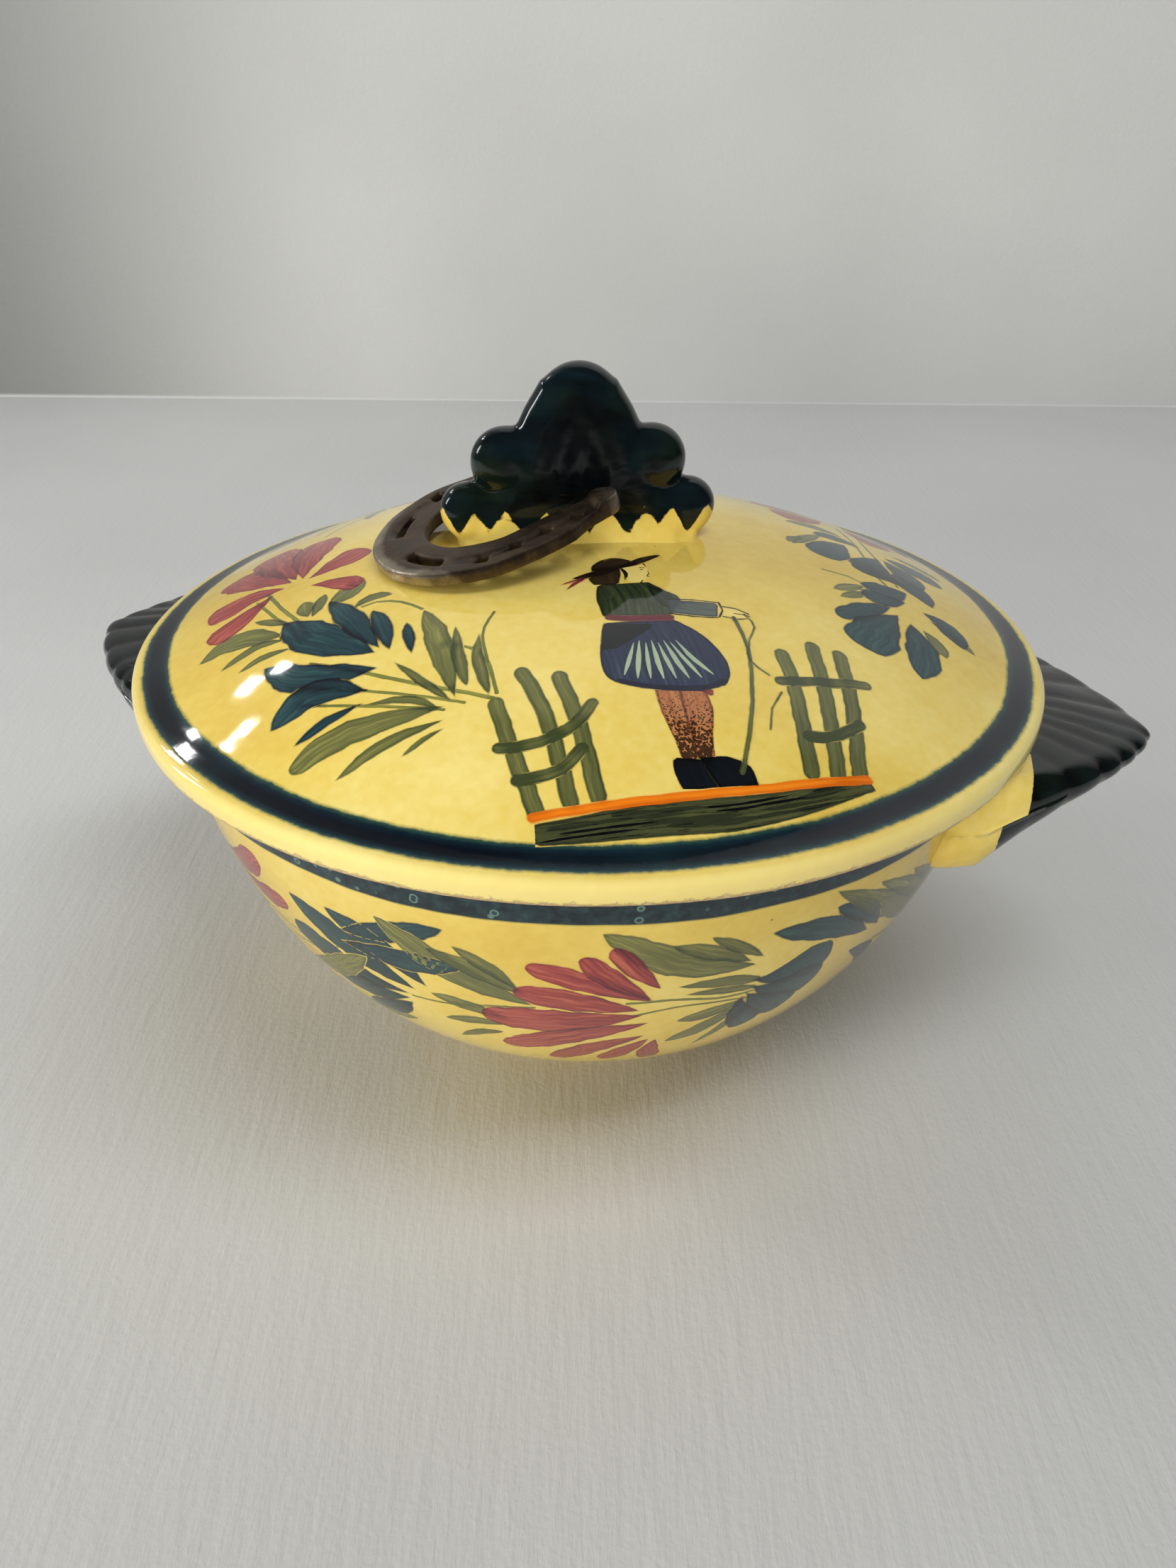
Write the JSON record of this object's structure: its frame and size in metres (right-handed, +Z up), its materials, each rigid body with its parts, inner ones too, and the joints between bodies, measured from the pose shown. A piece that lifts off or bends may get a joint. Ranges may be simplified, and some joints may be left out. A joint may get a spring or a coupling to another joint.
{
  "type": "lidded earthenware bowl",
  "caption": "Round glazed earthenware porringer with two leaf-shaped ears, a domed lid with a scalloped knob, and a small iron horseshoe over the knob.",
  "frame": {"origin": "on the bowl's axis, on the table that the foot ring stands on", "axes": "+Z up along the bowl's axis, +X along the line of the two ears, towards the right ear as seen from the painted front"},
  "size_m": [0.206, 0.165, 0.1251],
  "materials": {
    "yellow_glaze": "glossy tin glaze over earthenware, hand painted",
    "dark_glaze": "glossy blue-black brushed glaze",
    "iron": "brown, worn bright on the edges"
  },
  "bodies": {
    "bowl": {"bowl": "yellow_glaze", "foot_ring": "yellow_glaze", "ear_left": "dark_glaze", "ear_right": "dark_glaze"},
    "lid": {"lid": "yellow_glaze", "lid_locating_ring": "yellow_glaze", "knob": "dark_glaze"},
    "horseshoe": {"horseshoe": "iron"}
  },
  "joints": [
    {"name": "lid_lift", "type": "slide", "parent": "bowl", "child": "lid", "axis": [0, 0, 1], "range_m": [0, 0.12]},
    {"name": "horseshoe_lift", "type": "slide", "parent": "lid", "child": "horseshoe", "axis": [0, 0, 1], "range_m": [0, 0.06]}
  ]
}
